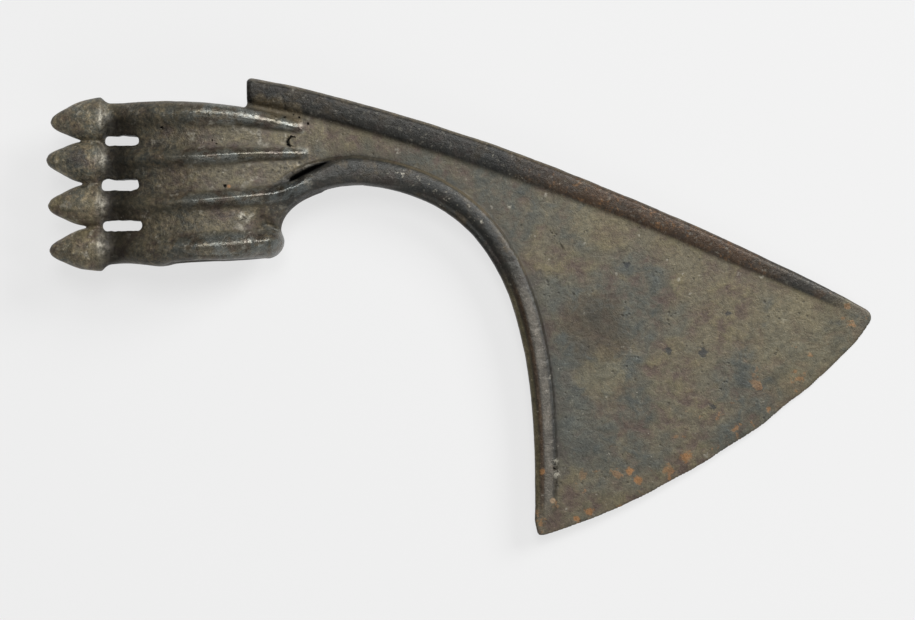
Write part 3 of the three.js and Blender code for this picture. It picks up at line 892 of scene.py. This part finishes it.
# painted glints, strongest on the bead's top
worn_glints = scaled(mark("bead_top_glints"), 0.8, times(mark("flange"), 0.3))
base = coated(
    base,
    (times(mark("rusty"), scaled(window(patches, 0.40, 0.56), 0.5, 0.45)), RED_BROWN),
    (times(rust, 0.6), RUST),
    (times(times(rust_spots, upper), 0.9), RUST),
    (times(crumbs, 0.8), PALE_BLOOM_AND_HIGHLIGHT),
    (times(patch((86.2, -80.8, 1.0)), times(upper, 0.8)), COPPER),
    (times(window(noise(420, 3, 0.55), 0.68, 0.74), 0.5), PALE_BLOOM_AND_HIGHLIGHT),
    (times(worn_glints, window(noise(900, 2), 0.60, 0.68)), PALE_BLOOM_AND_HIGHLIGHT),
)

# casting flaws: a curled blister scar on the neck, and a few open pores
scar = times(patch((20.2, 10.5, 1.5), edge=0.25, ragged=0.5, fray=1.2),
             rest_of(patch((20.6, 10.4, 1.3), edge=0.25, ragged=0.5, fray=1.2)))
pores = patch((18.4, 16.6, 0.36), (20.4, 17.3, 0.32), (21.9, 16.6, 0.36), (24.2, 15.0, 0.32),
              (-12, 13.8, 0.6), (4.1, -1.0, 0.42), (0.9, 10.3, 0.3), (2.0, 9.6, 0.3), (86.8, -72.6, 0.5),
              edge=0.7, fray=3.0)
flaws = times(math_node("MAXIMUM", scar, pores), upper)
base = blend(flaws, base, PORE_BLACK)

# lighter and darker: coarse on the socket, even on the polished ribs, with painted glints, most where it is
# worn
coarse = scaled(ribs, -0.9, scaled(socket, 0.8, 1.0))
tone = scaled(times(centred(speckle), coarse), 1.5, 0.93)
tone = times(tone, scaled(centred(grain), 1.2, 1.0))
tone = times(tone, scaled(centred(hues), 1.3, 1.0))
tone = times(tone, rest_of(times(pit, 0.5)))
glint = times(window(grain, 0.60, 0.72), window(speckle, 0.5, 0.62))
tone = math_node("ADD", tone, times(glint, scaled(worn, 2.2, 0.3)))
for name, change, plain in (
    # the spikes' buds lighter than the rest: painted fill light on their slopes
    ("bud", 0.60, 0.79),
    ("flange", -0.44, 1.0),
    ("bead", -0.12, 1.0),
    # the bead's crest lighter again: a painted highlight
    ("bead_crest_highlight", 0.2, 1.0),
    ("socket", -0.08, 1.0),
):
    tone = times(tone, scaled(mark(name), change, plain))
toned = node("ShaderNodeVectorMath", operation="SCALE", Vector=base, Scale=tone)

relief = times(times(speckle, 0.16), coarse)
for value, rise in ((grain, 0.04), (patches, 0.22), (pit, -0.08), (flaws, -0.5), (crumbs, 0.15)):
    relief = scaled(value, rise, relief)
bump = node("ShaderNodeBump", Strength=1.0, Distance=0.001, Height=relief)

rough = scaled(grain, 0.3, 0.36)
for value, change in ((worn, -0.07), (ribs, -0.24), (shade_and_soil, 0.2)):
    rough = scaled(value, change, rough)
# the wedge's painted shadow is made fully rough, so that it stays black
rough = math_node("MAXIMUM", rough, mark("wedge"))

# the wedge's painted black shadow and the flaws are black all through: metal without colour gives nothing
# back
metallic = math_node("MAXIMUM", scaled(ribs, 0.2, 0.35), mark("wedge"))
metallic = math_node("MAXIMUM", metallic, flaws)
metal = node("ShaderNodeBsdfPrincipled", Base_Color=toned.outputs["Vector"], Metallic=metallic,
             Roughness=rough, Normal=bump.outputs["Normal"])
node("ShaderNodeOutputMaterial", Surface=metal.outputs["BSDF"])

# ---------- Cast skin: low lumps left by the mould and small corrosion pits, all over -------------------

SKIN_SIZES = {"Lump Size": 5.5, "Lump Height": 0.10, "Pit Size": 1.6, "Pit Depth": 0.07, "Seed": 3.0}
PIT_THRESHOLD = 0.56

tree = bpy.data.node_groups.new("cast_skin", "GeometryNodeTree")
tree.interface.new_socket("Geometry", in_out="INPUT", socket_type="NodeSocketGeometry")
size_inputs = {}
for name, value in SKIN_SIZES.items():
    size_input = tree.interface.new_socket(name, in_out="INPUT", socket_type="NodeSocketFloat")
    size_input.default_value = value
    size_inputs[name] = size_input.identifier
tree.interface.new_socket("Geometry", in_out="OUTPUT", socket_type="NodeSocketGeometry")
given = node("NodeGroupInput").outputs
spot_on_skin = node("GeometryNodeInputPosition").outputs["Position"]
outward = node("GeometryNodeInputNormal").outputs["Normal"]


def skin_noise(size, detail):
    """Cloudy random values about 0.5, with clouds of a size in millimetres."""
    return node("ShaderNodeTexNoise", noise_dimensions="4D", Vector=spot_on_skin, W=given["Seed"],
                Scale=math_node("DIVIDE", 1.0, size), Detail=detail).outputs["Fac"]


lumps = times(centred(skin_noise(given["Lump Size"], 2.0)), times(given["Lump Height"], 2.0))
pitting = math_node("SUBTRACT", skin_noise(given["Pit Size"], 1.0), PIT_THRESHOLD)
pitting = times(math_node("MAXIMUM", pitting, 0.0), times(given["Pit Depth"], -6.0))
height_added = math_node("ADD", lumps, pitting)
push = node("ShaderNodeVectorMath", operation="SCALE", Vector=outward, Scale=height_added)
pushed = node("GeometryNodeSetPosition", Geometry=given["Geometry"], Offset=push.outputs["Vector"])
realized = node("GeometryNodeRealizeInstances", Geometry=pushed.outputs["Geometry"])
finished = node("GeometryNodeSetMaterial", Geometry=realized.outputs["Geometry"], Material=patina)
node("NodeGroupOutput", Geometry=finished.outputs["Geometry"])

cast_skin = casting_piece.modifiers.new("cast_skin", "NODES")
cast_skin.node_group = tree
for name, value in SKIN_SIZES.items():
    cast_skin[size_inputs[name]] = value
casting_piece.data = evaluated_mesh(casting_piece)
casting_piece.modifiers.clear()

# ---------- Laid down: it rests on the crests of its socket ribs and the tip of its blade ---------------

points = np.empty(len(casting_piece.data.vertices) * 3)
casting_piece.data.vertices.foreach_get("co", points)
points = points.reshape(-1, 3)
slope = 0.0
for _ in range(6):  # each round finds the lowest point of either end a little better
    level = points[:, 2] - slope * points[:, 0]
    socket_side = np.where(points[:, 0] < FLANGE_END_X)[0]
    blade_side = np.where(points[:, 0] > ARCH_FOOT[0])[0]
    socket_foot = points[socket_side[np.argmin(level[socket_side])]]
    blade_foot = points[blade_side[np.argmin(level[blade_side])]]
    slope = (blade_foot[2] - socket_foot[2]) / (blade_foot[0] - socket_foot[0])
tilt = math.atan(slope)


def lean(flat_places):
    """Flat places turned by the resting tilt."""
    flat_places = np.asarray(flat_places, dtype=float)
    x = flat_places[..., 0] * math.cos(tilt) + flat_places[..., 2] * math.sin(tilt)
    z = -flat_places[..., 0] * math.sin(tilt) + flat_places[..., 2] * math.cos(tilt)
    return np.stack([x, flat_places[..., 1], z], axis=-1)


laid = lean(points)
middle = (laid.min(axis=0) + laid.max(axis=0)) / 2
settled = np.array([
    (cad_low[0] + cad_high[0]) / 2 - middle[0] / 1000,
    (cad_low[1] + cad_high[1]) / 2 - middle[1] / 1000,
    cad_low[2] - laid[:, 2].min() / 1000,
])
casting_piece.data.vertices.foreach_set("co", (laid / 1000 + settled).ravel())
casting_piece.data.update()
for polygon in casting_piece.data.polygons:
    polygon.use_smooth = True

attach(casting_piece, "root")
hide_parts("axe_head")

# ======================================================================================================
# Table and light. A plain pale floor, a large soft key light from the blade side, a weaker one overhead
# and a faint fill from the side of the arch, an even pale surround, and a camera that looks straight
# down on the flat of the blade.
# ======================================================================================================

FLOOR_REACH = 3
FLOOR_LOOK = {
    "Base Color": (0.14, 0.14, 0.14, 1),
    "Roughness": 0.9,
    "Specular IOR Level": 0.1,
    "Emission Color": (1, 1, 1, 1),
    "Emission Strength": 0.69,
}
SURROUND_STRENGTH = 0.10
CAMERA_DISTANCE = 0.7
SENSOR_WIDTH = 36
VIEW_WIDTH = 0.2333
VIEW_CENTRE = (61.84, -32.39, 0.0)

floor_mesh = bpy.data.meshes.new("floor")
floor_corners = [(FLOOR_REACH * a, FLOOR_REACH * b, 0) for a, b in ((-1, -1), (1, -1), (1, 1), (-1, 1))]
floor_mesh.from_pydata(floor_corners, [], [(0, 1, 2, 3)])
floor = bpy.data.objects.new("floor", floor_mesh)
bpy.context.scene.collection.objects.link(floor)
paper = bpy.data.materials.new("pale_floor")
paper.use_nodes = True
for name, value in FLOOR_LOOK.items():
    paper.node_tree.nodes["Principled BSDF"].inputs[name].default_value = value
floor_mesh.materials.append(paper)


def lamp(name, spot, size, watts):
    """A square soft light at a place, facing the object."""
    made = bpy.data.lights.new(name, "AREA")
    made.shape = "SQUARE"
    made.size = size
    made.energy = watts
    light = bpy.data.objects.new(name, made)
    light.location = spot
    light.rotation_euler = (-Vector(spot)).to_track_quat("-Z", "Y").to_euler()
    bpy.context.scene.collection.objects.link(light)


lamp("key", spot=(1.05, 0.70, 0.85), size=0.62, watts=25)
lamp("overhead", spot=(0.10, 0.45, 1.3), size=0.46, watts=9.5)
lamp("fill", spot=(0.25, -1.0, 0.9), size=1.0, watts=4.5)
surround = bpy.data.worlds.new("surround")
surround.use_nodes = True
surround.node_tree.nodes["Background"].inputs["Color"].default_value = (1, 1, 1, 1)
surround.node_tree.nodes["Background"].inputs["Strength"].default_value = SURROUND_STRENGTH
bpy.context.scene.world = surround
bpy.context.scene.view_settings.view_transform = "Standard"

centre = Vector(lean(VIEW_CENTRE) / 1000 + settled)
outward_axis = Vector((math.sin(tilt), 0, math.cos(tilt)))
lens = bpy.data.cameras.new("camera")
lens.sensor_width = SENSOR_WIDTH
lens.lens = SENSOR_WIDTH * CAMERA_DISTANCE / VIEW_WIDTH
camera = bpy.data.objects.new("camera", lens)
camera.location = centre + outward_axis * CAMERA_DISTANCE
camera.rotation_euler = (0, tilt, 0)
bpy.context.scene.collection.objects.link(camera)
bpy.context.scene.camera = camera
